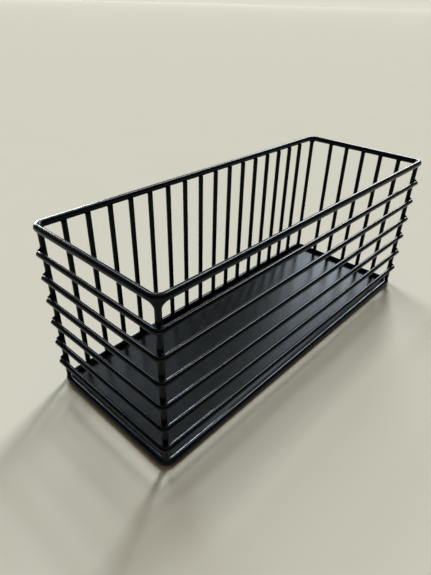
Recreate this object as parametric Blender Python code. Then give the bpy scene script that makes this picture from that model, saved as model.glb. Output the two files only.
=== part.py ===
"""Open desk basket of welded steel wire round a sheet-steel floor, coated satin black.

The front and left walls are wires that wrap round the front left corner.
The back and right walls are uprights. Rim, base ring and posts tie them together.
X runs along the basket, Y from its front to its back and Z up from the table.
"""

import math

import bmesh
import bpy
from mathutils import Matrix, Vector

# Overall size, in metres: the outside of the top rim, and from the table to its top
LENGTH = 0.3057
WIDTH = 0.1162
HEIGHT = 0.1247

# Wire gauges
RIM_WIRE = 0.0047
BASE_WIRE = 0.0047
WALL_WIRE = 0.0037

# Corner bends of the two loops, to the middle of the wire
RIM_BEND = 0.006
BASE_BEND = 0.006

# How far the middles of the rim and of the base ring lie outside the middles of the posts
RIM_OVERHANG = 0.0023
BASE_OVERHANG = 0.0015

# Wires in each wall, and the spaces that the uprights leave beside the posts
WRAP_WIRES = 6
BACK_UPRIGHTS = 16
END_UPRIGHTS = 5
SIDE_SPACE = 0.0163
FAR_CORNER_SPACE = 0.0219

# How far the ends of the wrap wires run past the middles of the back left and front right posts,
# or stop short of them where the value is negative
BACK_OVERRUN = -0.0002
RIGHT_OVERRUN = -0.001

# Floor sheet: its thickness, and how far its top lies below the top of the base ring
FLOOR_SHEET = 0.0008
FLOOR_DROP = 0.0037

# Clearance that the weld fills between two pieces
WELD_GAP = 0.0003

# Flats round a wire and steps round a bend
LOOP_FLATS = 16
WALL_FLATS = 12
BEND_STEPS = 6
FLOOR_CORNER_STEPS = 6
SMOOTH_ANGLE = math.radians(40)

# Middle lines that the pieces share
rim_x = (LENGTH - RIM_WIRE) / 2
rim_y = (WIDTH - RIM_WIRE) / 2
rim_z = HEIGHT - RIM_WIRE / 2
base_z = BASE_WIRE / 2
post_x = rim_x - RIM_OVERHANG
post_y = rim_y - RIM_OVERHANG
base_x = post_x + BASE_OVERHANG
base_y = post_y + BASE_OVERHANG
upright_foot = BASE_WIRE + WELD_GAP
upright_top = HEIGHT - RIM_WIRE - WELD_GAP
wrap_bend = WALL_WIRE + WELD_GAP
wrap_pitch = (rim_z - base_z) / (WRAP_WIRES + 1)


def coat(name, colour, roughness):
    """Baked coating: colour and roughness of the dry film over the steel."""
    material = bpy.data.materials.new(name)
    material.use_nodes = True
    shader = material.node_tree.nodes["Principled BSDF"]
    shader.inputs["Base Color"].default_value = (*colour, 1.0)
    shader.inputs["Roughness"].default_value = roughness
    shader.inputs["Metallic"].default_value = 0.0
    return material


def start_wire(shape, gauge, flats, place, heading):
    """A many-sided section across the heading, with flats above, below and at both sides."""
    heading = Vector(heading)
    upward = Vector((0, 1, 0)) if heading.z else Vector((0, 0, 1))
    sideways = upward.cross(heading)
    turn = Matrix((sideways, upward, heading)).transposed().to_4x4()
    half_step = Matrix.Rotation(math.pi / flats, 4, "Z")
    made = bmesh.ops.create_circle(
        shape,
        segments=flats,
        radius=gauge / 2 / math.cos(math.pi / flats),
        matrix=Matrix.Translation(place) @ turn @ half_step,
    )
    return list({edge for vert in made["verts"] for edge in vert.link_edges})


def run_straight(shape, ring, travel):
    """Carries the open end of a wire along a straight length and returns the new end."""
    grown = bmesh.ops.extrude_edge_only(shape, edges=ring)["geom"]
    ends = [part for part in grown if isinstance(part, bmesh.types.BMVert)]
    bmesh.ops.translate(shape, verts=ends, vec=travel)
    return [part for part in grown if isinstance(part, bmesh.types.BMEdge) and set(part.verts) <= set(ends)]


def run_bend(shape, ring, centre):
    """Carries the open end of a level wire round a quarter turn to the left."""
    turned = bmesh.ops.spin(
        shape,
        geom=ring,
        cent=centre,
        axis=(0, 0, 1),
        angle=math.pi / 2,
        steps=BEND_STEPS,
        use_duplicate=False,
    )
    return [part for part in turned["geom_last"] if isinstance(part, bmesh.types.BMEdge)]


def mesh_of(shape, name, material):
    """Closes the shape as a mesh with its faces outward, smooth round the wire."""
    bmesh.ops.recalc_face_normals(shape, faces=shape.faces)
    mesh = bpy.data.meshes.new(name)
    shape.to_mesh(mesh)
    shape.free()
    mesh.materials.append(material)
    mesh.shade_smooth()
    mesh.set_sharp_from_angle(angle=SMOOTH_ANGLE)
    return mesh


def loop_mesh(name, gauge, half_x, half_y, bend, material):
    """A wire bent into a closed rectangle, its ends butt welded."""
    shape = bmesh.new()
    straight_x = half_x - bend
    straight_y = half_y - bend
    first = start_wire(shape, gauge, LOOP_FLATS, (-straight_x, -half_y, 0), (1, 0, 0))
    ring = run_straight(shape, first, (2 * straight_x, 0, 0))
    ring = run_bend(shape, ring, (straight_x, -straight_y, 0))
    ring = run_straight(shape, ring, (0, 2 * straight_y, 0))
    ring = run_bend(shape, ring, (straight_x, straight_y, 0))
    ring = run_straight(shape, ring, (-2 * straight_x, 0, 0))
    ring = run_bend(shape, ring, (-straight_x, straight_y, 0))
    ring = run_straight(shape, ring, (0, -2 * straight_y, 0))
    run_bend(shape, ring, (-straight_x, -straight_y, 0))
    bmesh.ops.remove_doubles(shape, verts=shape.verts, dist=WELD_GAP / 100)
    return mesh_of(shape, name, material)


def wrap_mesh(name, material):
    """A wire along the left wall, bent round the front left post and on along the front wall."""
    shape = bmesh.new()
    back_end = (-post_x - wrap_bend, post_y + BACK_OVERRUN, 0)
    first = start_wire(shape, WALL_WIRE, WALL_FLATS, back_end, (0, -1, 0))
    ring = run_straight(shape, first, (0, -2 * post_y - BACK_OVERRUN, 0))
    ring = run_bend(shape, ring, (-post_x, -post_y, 0))
    last = run_straight(shape, ring, (2 * post_x + RIGHT_OVERRUN, 0, 0))
    bmesh.ops.edgeloop_fill(shape, edges=first)
    bmesh.ops.edgeloop_fill(shape, edges=last)
    return mesh_of(shape, name, material)


def upright_mesh(name, material):
    """A straight cut wire that stands on the base ring and reaches up to the rim."""
    shape = bmesh.new()
    first = start_wire(shape, WALL_WIRE, WALL_FLATS, (0, 0, 0), (0, 0, 1))
    last = run_straight(shape, first, (0, 0, upright_top - upright_foot))
    bmesh.ops.edgeloop_fill(shape, edges=first)
    bmesh.ops.edgeloop_fill(shape, edges=last)
    return mesh_of(shape, name, material)


def floor_mesh(name, material):
    """A flat sheet that fills the base ring, with its corners cut to the ring's bends."""
    shape = bmesh.new()
    inner = BASE_WIRE / 2 + WELD_GAP
    sides = (2 * (base_x - inner), 2 * (base_y - inner), FLOOR_SHEET)
    bmesh.ops.create_cube(shape, size=1, matrix=Matrix.Diagonal((*sides, 1)))
    corners = [edge for edge in shape.edges if edge.verts[0].co.xy == edge.verts[1].co.xy]
    bmesh.ops.bevel(
        shape,
        geom=corners,
        offset=BASE_BEND - inner,
        segments=FLOOR_CORNER_STEPS,
        profile=0.5,
        affect="EDGES",
    )
    return mesh_of(shape, name, material)


def spaced(first, last, count):
    """Even places from the first to the last."""
    return [first + (last - first) * step / (count - 1) for step in range(count)]


for left_over in list(bpy.data.objects):
    bpy.data.objects.remove(left_over)

# The wrap wires stand out past the rim at the front and left, so the rim's middle moves
# back and right until the middle of the whole basket is at the origin
loop_reach = max(RIM_OVERHANG + RIM_WIRE / 2, BASE_OVERHANG + BASE_WIRE / 2)
wrap_reach = wrap_bend + WALL_WIRE / 2
off_middle = (max(loop_reach, wrap_reach) - loop_reach) / 2
basket = bpy.data.objects.new("basket", None)
basket.location = (off_middle, off_middle, 0)
bpy.context.scene.collection.objects.link(basket)


def add(name, mesh, place):
    """One piece of the basket, placed from the middle of the rim on the table."""
    piece = bpy.data.objects.new(name, mesh)
    piece.location = place
    piece.parent = basket
    bpy.context.scene.collection.objects.link(piece)


loop_coat = coat("loop_coat", (0.012, 0.012, 0.014), 0.40)
wall_coat = coat("wall_coat", (0.012, 0.012, 0.014), 0.42)
floor_coat = coat("floor_coat", (0.020, 0.021, 0.023), 0.36)

# Rim, base ring and floor
rim = loop_mesh("top_rim", RIM_WIRE, rim_x, rim_y, RIM_BEND, loop_coat)
add("top_rim", rim, (0, 0, rim_z))
ring = loop_mesh("base_ring", BASE_WIRE, base_x, base_y, BASE_BEND, loop_coat)
add("base_ring", ring, (0, 0, base_z))
floor = floor_mesh("floor_plate", floor_coat)
add("floor_plate", floor, (0, 0, BASE_WIRE - FLOOR_DROP - FLOOR_SHEET / 2))

# Corner posts
upright = upright_mesh("upright", wall_coat)
add("post_front_left", upright, (-post_x, -post_y, upright_foot))
add("post_front_right", upright, (post_x, -post_y, upright_foot))
add("post_back_left", upright, (-post_x, post_y, upright_foot))
add("post_back_right", upright, (post_x, post_y, upright_foot))

# Uprights of the back wall, from left to right, and of the right wall, from front to back
back_places = spaced(SIDE_SPACE - post_x, post_x - FAR_CORNER_SPACE, BACK_UPRIGHTS)
for number, x in enumerate(back_places, 1):
    add(f"back_upright_{number:02}", upright, (x, post_y, upright_foot))
end_places = spaced(SIDE_SPACE - post_y, post_y - FAR_CORNER_SPACE, END_UPRIGHTS)
for number, y in enumerate(end_places, 1):
    add(f"end_upright_{number}", upright, (post_x, y, upright_foot))

# Wrap wires of the left and front walls, from the top down
wrap = wrap_mesh("wrap_wire", wall_coat)
for number in range(1, WRAP_WIRES + 1):
    add(f"wrap_wire_{number}", wrap, (0, 0, rim_z - number * wrap_pitch))
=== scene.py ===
"""Open desk basket of welded steel wire round a sheet-steel floor, coated satin black.

The front and left walls are wires that wrap round the front left corner.
The back and right walls are uprights. Every piece is dressed where the frame has it.
"""

import math

import bmesh
import bpy
from mathutils import Matrix, Vector, noise


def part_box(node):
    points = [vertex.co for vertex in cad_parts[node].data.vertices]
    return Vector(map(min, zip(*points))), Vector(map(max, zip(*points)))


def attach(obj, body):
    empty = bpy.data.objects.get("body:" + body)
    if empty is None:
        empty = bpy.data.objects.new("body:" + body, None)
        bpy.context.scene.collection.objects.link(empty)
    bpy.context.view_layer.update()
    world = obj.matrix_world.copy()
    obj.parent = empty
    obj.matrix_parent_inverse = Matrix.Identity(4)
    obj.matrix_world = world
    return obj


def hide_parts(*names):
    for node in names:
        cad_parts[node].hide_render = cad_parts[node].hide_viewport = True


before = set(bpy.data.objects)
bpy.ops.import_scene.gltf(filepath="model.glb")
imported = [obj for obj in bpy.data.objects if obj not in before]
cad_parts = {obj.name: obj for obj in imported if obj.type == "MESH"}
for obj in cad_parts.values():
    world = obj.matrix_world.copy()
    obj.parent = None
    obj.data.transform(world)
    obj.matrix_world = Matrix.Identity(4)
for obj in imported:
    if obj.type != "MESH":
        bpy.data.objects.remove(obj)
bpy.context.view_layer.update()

# Base ring
# The loop of heavy steel wire that the basket stands on. It is bent at four corners, butt
# welded and ground flush, and its baked black coat is rubbed thin where it meets the table.
RING_BEND = 0.006
LOOP_SIDES = 32
BEND_STEPS = 12
STRAIGHT_STEP = 0.006
UP = Vector((0, 0, 1))

# Unevenness of the coat: its height and its length along the wire
COAT_WAVE = 0.00002
COAT_WAVE_LENGTH = 0.009

# Colours of the coat and of what lies on it or shows through it
BLACK = (0.0015, 0.0023, 0.0038)
THIN_COAT = 1.7
DUST = (0.060, 0.060, 0.058)
BARE_STEEL = (0.30, 0.29, 0.28)
COOL_SHEEN = (0.82, 0.93, 1.0)

# Clouding, as patches to a metre and fineness, and the part of each that shows
THIN_CLOUDS = (220, 3)
THIN_PATCHES = (0.35, 0.7)
DUST_CLOUDS = (70, 5)
DUST_PATCHES = (0.45, 0.8)
DUST_SLOPE = 0.6
DUST_COVER = 0.10
SPECKS = 150
SPECK_EDGE = (0.03, 0.06)
SPECK_CHANCE = (0.90, 0.92)
SPECK_COVER = 0.7
SHEEN_CLOUDS = (340, 3)
SHEEN_PATCHES = (0.3, 0.7)
SHEEN_SPREAD = (-0.02, 0.02)
WORN_CLOUDS = (260, 4)
WORN_PATCHES = (0.42, 0.56)
WORN_THROUGH = 1 / 3
PEEL_CLOUDS = (1100, 2)

# Finish of the ring: its gloss, its orange peel, and how high the table rubs it
RING_GLOSS = 0.20
RING_ROUGHNESS = 0.15
RING_PEEL = 0.000006
RING_WORN_BELOW = 0.0004


def loop_line(low, high, bend):
    """Places along the middle of a level wire bent into a rectangle, each with its outward side."""
    gauge = high.z - low.z
    middle = (low + high) / 2
    straight_x = (high.x - low.x - gauge) / 2 - bend
    straight_y = (high.y - low.y - gauge) / 2 - bend
    line = []
    for corner, (side_x, side_y) in enumerate(((1, -1), (1, 1), (-1, 1), (-1, -1))):
        centre = middle + Vector((side_x * straight_x, side_y * straight_y, 0))
        for step in range(BEND_STEPS + 1):
            angle = math.pi / 2 * (corner - 1 + step / BEND_STEPS)
            outward = Vector((math.cos(angle), math.sin(angle), 0))
            line.append((centre + bend * outward, outward))
    return with_straights(line, closed=True)


def with_straights(line, closed):
    """The line with evenly spaced places added along its straight runs."""
    filled = []
    follows = line[1:] + line[:1] if closed else line[1:]
    for (place, outward), (further, _) in zip(line, follows):
        filled.append((place, outward))
        count = round((further - place).length / STRAIGHT_STEP)
        for step in range(1, count):
            filled.append((place.lerp(further, step / count), outward))
    return filled if closed else filled + line[-1:]


def coat_film(point):
    """How much thicker or thinner than usual the coat lies here."""
    return COAT_WAVE * noise.noise(point / COAT_WAVE_LENGTH)


def section(place, sideways, upward, radius, sides):
    """A round section across a wire, with the slight unevenness of its coat."""
    ring = []
    for side in range(sides):
        angle = 2 * math.pi * side / sides
        out = math.cos(angle) * sideways + math.sin(angle) * upward
        ring.append(place + (radius + coat_film(place + radius * out)) * out)
    return ring


def loop_rings(line, radius):
    """Sections along a loop of wire."""
    return [section(place, outward, UP, radius, LOOP_SIDES) for place, outward in line]


def skin(name, rings, closed=False):
    """A smooth mesh stretched over the sections, joined end to end or closed at both ends."""
    shape = bmesh.new()
    loops = [[shape.verts.new(point) for point in ring] for ring in rings]
    follows = loops[1:] + loops[:1] if closed else loops[1:]
    for ring, further in zip(loops, follows):
        for side in range(len(ring)):
            shape.faces.new((ring[side - 1], ring[side], further[side], further[side - 1]))
    if not closed:
        for ring in (loops[0], loops[-1]):
            middle = sum((vert.co for vert in ring), Vector()) / len(ring)
            pole = shape.verts.new(middle)
            for side in range(len(ring)):
                shape.faces.new((ring[side - 1], ring[side], pole))
    return smooth_mesh(name, shape)


def smooth_mesh(name, shape):
    """Turns the faces outward and keeps the shape as a smooth mesh."""
    bmesh.ops.recalc_face_normals(shape, faces=shape.faces)
    mesh = bpy.data.meshes.new(name)
    shape.to_mesh(mesh)
    shape.free()
    mesh.shade_smooth()
    return mesh


def coat(name, black, gloss, roughness, peel, worn_below=None):
    """Baked black coat: faint clouding, orange peel, dust on what faces up and stray specks."""
    material = bpy.data.materials.new(name)
    material.use_nodes = True
    nodes = material.node_tree.nodes
    link = material.node_tree.links.new
    shader = nodes["Principled BSDF"]
    where = nodes.new("ShaderNodeTexCoord").outputs["Object"]
    facing = nodes.new("ShaderNodeSeparateXYZ")
    link(nodes.new("ShaderNodeNewGeometry").outputs["Normal"], facing.inputs[0])

    def cloud(scale, detail):
        texture = nodes.new("ShaderNodeTexNoise")
        texture.inputs["Scale"].default_value = scale
        texture.inputs["Detail"].default_value = detail
        link(where, texture.inputs["Vector"])
        return texture.outputs["Fac"]

    def ranged(value, from_low, from_high, to_low, to_high):
        spread = nodes.new("ShaderNodeMapRange")
        spread.inputs["From Min"].default_value = from_low
        spread.inputs["From Max"].default_value = from_high
        spread.inputs["To Min"].default_value = to_low
        spread.inputs["To Max"].default_value = to_high
        link(value, spread.inputs["Value"])
        return spread.outputs["Result"]

    def times(first, second):
        product = nodes.new("ShaderNodeMath")
        product.operation = "MULTIPLY"
        link(first, product.inputs[0])
        link(second, product.inputs[1])
        return product.outputs[0]

    def mixed(amount, first, second):
        mix = nodes.new("ShaderNodeMix")
        mix.data_type = "RGBA"
        link(amount, mix.inputs["Factor"])
        for socket, colour in ((mix.inputs["A"], first), (mix.inputs["B"], second)):
            if isinstance(colour, tuple):
                socket.default_value = (*colour, 1)
            else:
                link(colour, socket)
        return mix.outputs["Result"]

    shader.inputs["Specular IOR Level"].default_value = gloss
    shader.inputs["Specular Tint"].default_value = (*COOL_SHEEN, 1)
    thin = tuple(THIN_COAT * part for part in black)
    colour = mixed(ranged(cloud(*THIN_CLOUDS), *THIN_PATCHES, 0, 1), black, thin)
    level = ranged(facing.outputs["Z"], DUST_SLOPE, 1, 0, 1)
    lying = times(level, ranged(cloud(*DUST_CLOUDS), *DUST_PATCHES, 0, DUST_COVER))
    colour = mixed(lying, colour, DUST)
    speck = nodes.new("ShaderNodeTexVoronoi")
    speck.inputs["Scale"].default_value = SPECKS
    link(where, speck.inputs["Vector"])
    chance = nodes.new("ShaderNodeSeparateColor")
    link(speck.outputs["Color"], chance.inputs[0])
    grain = ranged(speck.outputs["Distance"], *SPECK_EDGE, SPECK_COVER, 0)
    stray = ranged(chance.outputs["Red"], *SPECK_CHANCE, 0, 1)
    colour = mixed(times(grain, stray), colour, DUST)
    if worn_below is not None:
        height = nodes.new("ShaderNodeSeparateXYZ")
        link(where, height.inputs[0])
        low = ranged(height.outputs["Z"], worn_below * WORN_THROUGH, worn_below, 1, 0)
        rubbed = times(low, ranged(cloud(*WORN_CLOUDS), *WORN_PATCHES, 0, 1))
        colour = mixed(rubbed, colour, BARE_STEEL)
        link(rubbed, shader.inputs["Metallic"])
    link(colour, shader.inputs["Base Color"])
    smoothest, roughest = (roughness + change for change in SHEEN_SPREAD)
    sheen = ranged(cloud(*SHEEN_CLOUDS), *SHEEN_PATCHES, smoothest, roughest)
    link(sheen, shader.inputs["Roughness"])
    bump = nodes.new("ShaderNodeBump")
    bump.inputs["Strength"].default_value = 1
    bump.inputs["Distance"].default_value = peel
    link(cloud(*PEEL_CLOUDS), bump.inputs["Height"])
    link(bump.outputs["Normal"], shader.inputs["Normal"])
    return material


def dress(name, mesh, material, slot, *nodes):
    """Puts a finished piece in the basket in place of the plain solids that it stands for."""
    piece = bpy.data.objects.new(name, mesh)
    piece.data.materials.append(material)
    bpy.context.scene.collection.objects.link(piece)
    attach(piece, "root")
    if nodes:
        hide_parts(*nodes)


ring_low, ring_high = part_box("base_ring")
ring_radius = (ring_high.z - ring_low.z) / 2
ring_line = loop_line(ring_low, ring_high, RING_BEND)
ring_coat = coat("ring_coat", BLACK, RING_GLOSS, RING_ROUGHNESS, RING_PEEL, RING_WORN_BELOW)
ring_mesh = skin("base_ring_wire", loop_rings(ring_line, ring_radius), closed=True)
dress("base_ring_wire", ring_mesh, ring_coat, "wire_coat", "base_ring")

# Floor
# A flat steel sheet cut to the inside of the base ring, with its edge welded into the ring's
# side. It takes the same baked coat, to a duller sheen, and lies very slightly out of true.
FLOOR_REACH = 0.0009
FLOOR_EDGE_STEPS = 4
FLOOR_CELLS = (60, 22)
FLOOR_SWELL = 0.00012
FLOOR_SWELL_LENGTH = 0.07
FLAT = 0.99
EAST = Vector((1, 0, 0))
NORTH = Vector((0, 1, 0))
FLOOR_BLACK = (0.0056, 0.0064, 0.0060)
FLOOR_GLOSS = 0.052
FLOOR_ROUGHNESS = 0.30
FLOOR_PEEL = 0.000003

floor_low, floor_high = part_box("floor_plate")
floor_middle = (floor_low + floor_high) / 2
floor_corner = RING_BEND - ring_radius


def floor_outline(inset):
    """Outline of the sheet, drawn in from its edge, as a closed list of places."""
    half_x = (floor_high.x - floor_low.x) / 2 + FLOOR_REACH - floor_corner
    half_y = (floor_high.y - floor_low.y) / 2 + FLOOR_REACH - floor_corner
    outline = []
    for corner, (side_x, side_y) in enumerate(((1, -1), (1, 1), (-1, 1), (-1, -1))):
        for step in range(BEND_STEPS + 1):
            angle = math.pi / 2 * (corner - 1 + step / BEND_STEPS)
            x = side_x * half_x + (floor_corner - inset) * math.cos(angle)
            y = side_y * half_y + (floor_corner - inset) * math.sin(angle)
            outline.append(floor_middle + Vector((x, y, 0)))
    return outline


def floor_mesh():
    """The sheet with rounded edges, and a grid over its flats that lets it swell a little."""
    shape = bmesh.new()
    edge = (floor_high.z - floor_low.z) / 2
    loops = []
    for step in range(FLOOR_EDGE_STEPS + 1):
        angle = math.pi * step / FLOOR_EDGE_STEPS - math.pi / 2
        inset = edge * (1 - math.cos(angle)) / 2
        level = Vector((0, 0, edge * math.sin(angle)))
        loops.append([shape.verts.new(point + level) for point in floor_outline(inset)])
    for ring, further in zip(loops, loops[1:]):
        for side in range(len(ring)):
            shape.faces.new((ring[side - 1], ring[side], further[side], further[side - 1]))
    shape.faces.new(loops[0])
    shape.faces.new(loops[-1])
    for count, axis in zip(FLOOR_CELLS, (EAST, NORTH)):
        span = (floor_high - floor_low) @ axis
        for cut in range(1, count):
            place = floor_middle + axis * span * (cut / count - 0.5)
            shape.normal_update()
            flats = [face for face in shape.faces if abs(face.normal.z) > FLAT]
            parts = dict.fromkeys(part for face in flats for part in (face, *face.edges, *face.verts))
            bmesh.ops.bisect_plane(shape, geom=list(parts), plane_co=place, plane_no=axis)
    for vert in shape.verts:
        vert.co.z += FLOOR_SWELL * noise.noise(vert.co / FLOOR_SWELL_LENGTH)
    return smooth_mesh("floor_sheet", shape)


floor_coat = coat("floor_coat", FLOOR_BLACK, FLOOR_GLOSS, FLOOR_ROUGHNESS, FLOOR_PEEL)
dress("floor_sheet", floor_mesh(), floor_coat, "floor_coat", "floor_plate")

# Top rim
# A second loop of the same heavy wire, bent and butt welded like the base ring. It caps all
# the uprights and is what a hand takes hold of.
RIM_BEND = 0.006
WIRE_GLOSS = 0.15
RIM_ROUGHNESS = 0.20
RIM_PEEL = 0.000006

rim_low, rim_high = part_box("top_rim")
rim_radius = (rim_high.z - rim_low.z) / 2
rim_line = loop_line(rim_low, rim_high, RIM_BEND)
rim_coat = coat("rim_coat", BLACK, WIRE_GLOSS, RIM_ROUGHNESS, RIM_PEEL)
rim_mesh = skin("top_rim_wire", loop_rings(rim_line, rim_radius), closed=True)
dress("top_rim_wire", rim_mesh, rim_coat, "wire_coat", "top_rim")

# Corner posts and uprights
# Straight lengths of lighter wire, cut square and resistance welded between the base ring and
# the rim. Weld metal and coat run out along the loops in small fillets, largest at the posts.
WIRE_SIDES = 24
FILLET_STEPS = 8
TOP_FILLETS = {
    "post_front_left": 0.0050,
    "post_front_right": 0.0024,
    "post_back_left": 0.0040,
    "post_back_right": 0.0024,
}
UPRIGHT_FILLET = 0.0005
FOOT_FILLET = 0.0009

# How far the weld sinks into the loop and climbs its side, and how much it fills the crease
SINK = 0.85
CLIMB = 0.6
CREASE_FILL = 0.28

UPRIGHT_GLOSS = 0.11
UPRIGHT_ROUGHNESS = 0.17
UPRIGHT_PEEL = 0.000005


def nearest(line, point):
    """The place on a loop's middle line nearest to the point, and the loop's heading there."""
    found = []
    for (start, _), (end, _) in zip(line, line[1:] + line[:1]):
        run = end - start
        share = max(0, min(1, (point - start).dot(run) / run.length_squared))
        found.append((start + share * run, run.normalized()))
    return min(found, key=lambda pair: (pair[0] - point).length)


def welded_end(axis, radius, line, loop_radius, fillet, up):
    """Sections where a wire runs into a loop: they spread along it and sink into its side."""
    level = line[0][0].z
    start = level - up * (loop_radius + fillet)
    _, along = nearest(line, Vector((axis.x, axis.y, level)))
    rings = []
    for step in range(1, FILLET_STEPS + 1):
        turn = math.pi / 2 * step / FILLET_STEPS
        stretch = fillet / radius * (1 - math.cos(turn))
        pull = (1 - math.cos(turn)) ** 2
        rise = fillet * math.sin(turn) + CLIMB * loop_radius * pull
        place = Vector((axis.x, axis.y, start + up * rise))
        ring = []
        for point in section(place, EAST, NORTH, radius, WIRE_SIDES):
            side = point - place
            run = along * side.dot(along)
            point = point + stretch * (run + CREASE_FILL * (side - run))
            core, _ = nearest(line, point)
            away = point - core
            inside = core + away * min(1, SINK * loop_radius / away.length)
            ring.append(point.lerp(inside, pull))
        rings.append(ring)
    return start, rings


def upright_mesh(name, node, top_fillet):
    """A straight wire with its foot welded to the base ring and its top to the rim."""
    low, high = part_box(node)
    axis = (low + high) / 2
    radius = (high.x - low.x) / 2
    foot_level, foot = welded_end(axis, radius, ring_line, ring_radius, FOOT_FILLET, -1)
    top_level, top = welded_end(axis, radius, rim_line, rim_radius, top_fillet, 1)
    count = round((top_level - foot_level) / STRAIGHT_STEP)
    levels = [foot_level + (top_level - foot_level) * step / count for step in range(count + 1)]
    places = [Vector((axis.x, axis.y, level)) for level in levels]
    straight = [section(place, EAST, NORTH, radius, WIRE_SIDES) for place in places]
    return skin(name, foot[::-1] + straight + top)


upright_coat = coat("upright_coat", BLACK, UPRIGHT_GLOSS, UPRIGHT_ROUGHNESS, UPRIGHT_PEEL)
for node in sorted(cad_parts):
    if "post" in node or "upright" in node:
        wire = upright_mesh(node + "_wire", node, TOP_FILLETS.get(node, UPRIGHT_FILLET))
        dress(node + "_wire", wire, upright_coat, "wire_coat", node)

# Wrap wires
# Six lengths of the lighter wire, each bent once round the front left post. They run along the
# left wall and the front wall outside the posts, and their cut ends lie against the far ones.
DOME_STEPS = 5
DOME_DEPTH = 0.0006
DOME_FULLNESS = 0.5
WRAP_ROUGHNESS = 0.17
WRAP_PEEL = 0.000005


def domed_end(place, heading, sideways, radius):
    """Sections that round off a cut end under its coat, from the wire to half a step off the tip."""
    rings = []
    for step in range(1, DOME_STEPS + 1):
        turn = math.pi / 2 * step / (DOME_STEPS + 0.5)
        tip = place + heading * DOME_DEPTH * math.sin(turn)
        rings.append(section(tip, sideways, UP, radius * math.cos(turn) ** DOME_FULLNESS, WIRE_SIDES))
    return rings


def wrap_mesh(name, node):
    """A wire along the left wall, round the front left post and along the front wall."""
    low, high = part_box(node)
    radius = (high.z - low.z) / 2
    post_low, post_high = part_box("post_front_left")
    post = (post_low + post_high) / 2
    level = (low.z + high.z) / 2
    bend = post.x - low.x - radius
    line = [(Vector((low.x + radius, high.y - DOME_DEPTH, level)), -EAST)]
    for step in range(BEND_STEPS + 1):
        angle = math.pi + math.pi / 2 * step / BEND_STEPS
        outward = Vector((math.cos(angle), math.sin(angle), 0))
        line.append((Vector((post.x, post.y, level)) + bend * outward, outward))
    line.append((Vector((high.x - DOME_DEPTH, low.y + radius, level)), -NORTH))
    line = with_straights(line, closed=False)
    rings = [section(place, outward, UP, radius, WIRE_SIDES) for place, outward in line]
    first = domed_end(line[0][0], NORTH, line[0][1], radius)
    last = domed_end(line[-1][0], EAST, line[-1][1], radius)
    return skin(name, first[::-1] + rings + last)


wall_coat = coat("wall_coat", BLACK, WIRE_GLOSS, WRAP_ROUGHNESS, WRAP_PEEL)
wraps = sorted(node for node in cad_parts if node.startswith("wrap_wire"))
for node in wraps:
    dress(node + "_bent", wrap_mesh(node + "_bent", node), wall_coat, "wire_coat", node)

# Welds of the wrap wires
# Each wrap wire is spot welded to the three posts that it passes. The metal squeezed out between
# wire and post shows under the coat as a hollow fillet, largest on top of the cut ends.
WELD_STEPS = 24
HOLLOW_STEPS = 8
WELD_ROOT = 0.7
WELD_EDGE = 0.00004
WELD_FULLNESS = 0.5

# Hollows of the fillets: below every wire, then above it at the bend and at the two cut ends
WELD_UNDER = 0.0006
BEND_WELD = 0.0011
BACK_WELD = 0.0024
RIGHT_WELD = 0.0016

# How far round the posts the welds reach, and how fast they close in past a cut end
BEND_WELD_SPREAD = math.radians(68)
END_WELD_RUN = math.radians(36)
BACK_WELD_PAST = math.radians(62)
RIGHT_WELD_PAST = math.radians(50)
WELD_CLOSING = 0.0021

WELD_GLOSS = 0.03
WELD_ROUGHNESS = 0.50
WELD_PEEL = 0.000008
QUARTER = math.pi / 2


def weld_outline(post_radius, wire_radius, distance, over, under):
    """Section of a weld, out from a post's middle line to a wire: one hollow above, one below."""
    halves = []
    for hollow, side in ((over, 1), (under, -1)):
        spare = wire_radius + post_radius - distance + 2 * hollow
        height = math.sqrt((wire_radius + distance - post_radius) * spare)
        last = math.atan2(-height, distance - post_radius - hollow) + 2 * math.pi
        half = [(WELD_ROOT * post_radius, side * height)]
        for step in range(HOLLOW_STEPS + 1):
            turn = math.pi + (last - math.pi) * step / HOLLOW_STEPS
            out = post_radius + hollow * (1 + math.cos(turn))
            half.append((out, side * (height + hollow * math.sin(turn))))
        halves.append(half)
    return halves[0] + halves[1][::-1]


def weld_mesh(name, corner, node, outward, turns, bent, cut, fillet):
    """Weld metal swept round a post's side, over a range of turns, against a wire.

    The wire keeps its distance from the post over the turns in bent and is straight past them.
    Past the turns in cut it has ended, and the weld closes on the post.
    """
    low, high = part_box("post_" + corner)
    post = (low + high) / 2
    post_radius = (high.x - low.x) / 2
    low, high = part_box(node)
    wire_radius = (high.z - low.z) / 2
    centre = Vector((post.x, post.y, low.z + wire_radius))
    gap = post.x - low.x if corner.endswith("left") else post.y - low.y
    rings = []
    for step in range(WELD_STEPS + 1):
        share = step / WELD_STEPS
        turn = turns[0] + (turns[1] - turns[0]) * share
        straight = max(bent[0] - turn, turn - bent[1], 0)
        beyond = max(cut[0] - turn, turn - cut[1], 0)
        distance = (gap - 2 * wire_radius) / math.cos(straight) + wire_radius - WELD_CLOSING * beyond
        least = (distance - wire_radius - post_radius) / 2 + WELD_EDGE
        swell = math.sin(math.pi * share) ** WELD_FULLNESS
        hollows = [least + max(0, size - least) * swell for size in (fillet, WELD_UNDER)]
        side = Vector((math.cos(outward + turn), math.sin(outward + turn), 0))
        outline = weld_outline(post_radius, wire_radius, distance, *hollows)
        rings.append([centre + out * side + up * UP for out, up in outline])
    return skin(name, rings)


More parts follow.
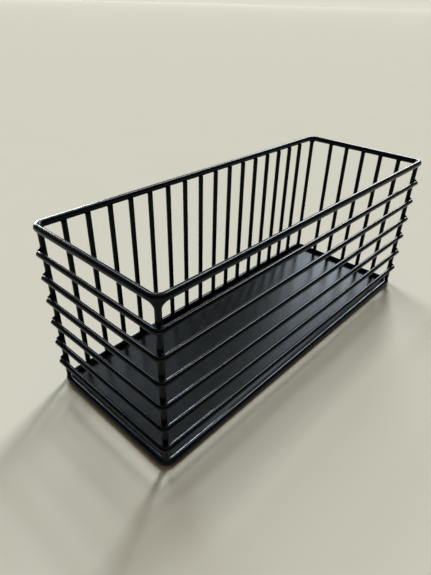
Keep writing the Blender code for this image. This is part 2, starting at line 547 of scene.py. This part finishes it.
# For each post: the side that the wire lies on, the weld's turns, the turns over which the wire
# is bent round the post, those that end where it is cut, and the hollow above it
welds = {
    "back_left": (
        2 * QUARTER,
        (-BACK_WELD_PAST, END_WELD_RUN),
        (-BACK_WELD_PAST, 0),
        (0, END_WELD_RUN),
        BACK_WELD,
    ),
    "front_right": (
        -QUARTER,
        (-END_WELD_RUN, RIGHT_WELD_PAST),
        (0, RIGHT_WELD_PAST),
        (-END_WELD_RUN, 0),
        RIGHT_WELD,
    ),
    "front_left": (
        -1.5 * QUARTER,
        (-BEND_WELD_SPREAD, BEND_WELD_SPREAD),
        (-QUARTER / 2, QUARTER / 2),
        (-BEND_WELD_SPREAD, BEND_WELD_SPREAD),
        BEND_WELD,
    ),
}
weld_coat = coat("weld_coat", BLACK, WELD_GLOSS, WELD_ROUGHNESS, WELD_PEEL)
for node in wraps:
    for corner, shape in welds.items():
        name = f"weld_{corner}_{node[-1]}"
        dress(name, weld_mesh(name, corner, node, *shape), weld_coat, "wire_coat")

# Table, light and camera
# A plain matt cream board under soft studio light: large cool panes far behind the basket, a weak
# warm one overhead and a dim surround. The camera looks down on the basket's front left corner.
TABLE_NEAR = 1.5
TABLE_FAR = 40
TABLE_CREAM = (0.616, 0.588, 0.489)
TABLE_SHADE = (0.596, 0.569, 0.471)
TABLE_CLOUDS = 9

# Each pane's heading, height, width and rise in degrees, then its brightness and colour
PANE_DISTANCE = 300
PANES = {
    "end_pane": (22, 15, 16, 14, 10, (0.95, 0.97, 1.0)),
    "right_pane": (25.6, 31, 9.6, 14, 26, (0.78, 0.89, 1.0)),
    "upper_pane": (23, 50.3, 7.8, 18, 36, (0.92, 0.96, 1.0)),
    "back_pane": (72, 12, 24, 14, 36, (0.84, 0.91, 1.0)),
    "high_pane": (61, 42, 14, 14, 12, (0.84, 0.92, 1.0)),
    "top_pane": (45, 88, 44, 44, 0.8, (1.0, 0.80, 0.56)),
}

# Tone of the surround from the table's level up
SURROUND = (
    (0.0, (0.735, 0.730, 0.625)),
    (0.02, (0.66, 0.645, 0.55)),
    (0.10, (0.18, 0.162, 0.139)),
    (0.50, (0.05, 0.045, 0.0385)),
)

SENSOR = 36
LENS = 28
NEAREST_SEEN = 0.01
CAMERA_PLACE = Vector((-0.25535, -0.18659, 0.23698))
CAMERA_HEADING = math.radians(42.24)
CAMERA_PITCH = math.radians(-32.66)
CAMERA_ROLL = math.radians(1.51)


def table_cream():
    """A matt cream board with faint clouding."""
    material = bpy.data.materials.new("table_cream")
    material.use_nodes = True
    nodes = material.node_tree.nodes
    link = material.node_tree.links.new
    shader = nodes["Principled BSDF"]
    shader.inputs["Specular IOR Level"].default_value = 0
    texture = nodes.new("ShaderNodeTexNoise")
    texture.inputs["Scale"].default_value = TABLE_CLOUDS
    link(nodes.new("ShaderNodeTexCoord").outputs["Object"], texture.inputs["Vector"])
    mix = nodes.new("ShaderNodeMix")
    mix.data_type = "RGBA"
    mix.inputs["A"].default_value = (*TABLE_SHADE, 1)
    mix.inputs["B"].default_value = (*TABLE_CREAM, 1)
    link(texture.outputs["Fac"], mix.inputs["Factor"])
    link(mix.outputs["Result"], shader.inputs["Base Color"])
    return material


def table_mesh():
    """A square board round the basket, with a border that runs on into the distance."""
    corners = ((-1, -1), (1, -1), (1, 1), (-1, 1))
    points = [(half * x, half * y, 0) for half in (TABLE_NEAR, TABLE_FAR) for x, y in corners]
    borders = [(side, side + 4, (side + 1) % 4 + 4, (side + 1) % 4) for side in range(4)]
    mesh = bpy.data.meshes.new("table_top")
    mesh.from_pydata(points, [], [(0, 1, 2, 3), *borders])
    mesh.materials.append(table_cream())
    return mesh


table = bpy.data.objects.new("table_top", table_mesh())
bpy.context.scene.collection.objects.link(table)

for name, (*angles, radiance, colour) in PANES.items():
    heading, height, width, rise = (math.radians(angle) for angle in angles)
    lamp = bpy.data.lights.new(name, "AREA")
    lamp.shape = "RECTANGLE"
    lamp.size = 2 * PANE_DISTANCE * math.tan(width / 2)
    lamp.size_y = 2 * PANE_DISTANCE * math.tan(rise / 2)
    lamp.color = colour
    lamp.energy = radiance * math.pi * lamp.size * lamp.size_y
    pane = bpy.data.objects.new(name, lamp)
    level = Vector((math.cos(heading), math.sin(heading), 0))
    towards = math.cos(height) * level + math.sin(height) * UP
    pane.location = PANE_DISTANCE * towards
    pane.rotation_euler = towards.to_track_quat("Z", "Y").to_euler()
    pane.visible_camera = False
    bpy.context.scene.collection.objects.link(pane)

world = bpy.data.worlds.new("dim_surround")
world.use_nodes = True
nodes = world.node_tree.nodes
link = world.node_tree.links.new
direction = nodes.new("ShaderNodeSeparateXYZ")
link(nodes.new("ShaderNodeTexCoord").outputs["Generated"], direction.inputs[0])
grade = nodes.new("ShaderNodeValToRGB")
stops = grade.color_ramp.elements
while len(stops) < len(SURROUND):
    stops.new(1)
for stop, (height, tone) in zip(stops, SURROUND):
    stop.position = height
    stop.color = (*tone, 1)
link(direction.outputs["Z"], grade.inputs["Fac"])
link(grade.outputs["Color"], nodes["Background"].inputs["Color"])
bpy.context.scene.world = world

camera = bpy.data.cameras.new("camera")
camera.sensor_width = SENSOR
camera.lens = LENS
camera.clip_start = NEAREST_SEEN
eye = bpy.data.objects.new("camera", camera)
heading = Matrix.Rotation(CAMERA_HEADING - math.pi / 2, 4, "Z")
pitch = Matrix.Rotation(math.pi / 2 + CAMERA_PITCH, 4, "X")
roll = Matrix.Rotation(CAMERA_ROLL, 4, "Z")
eye.matrix_world = Matrix.Translation(CAMERA_PLACE) @ heading @ pitch @ roll
bpy.context.scene.collection.objects.link(eye)
bpy.context.scene.camera = eye
bpy.context.scene.view_settings.view_transform = "Standard"

bpy.context.view_layer.update()
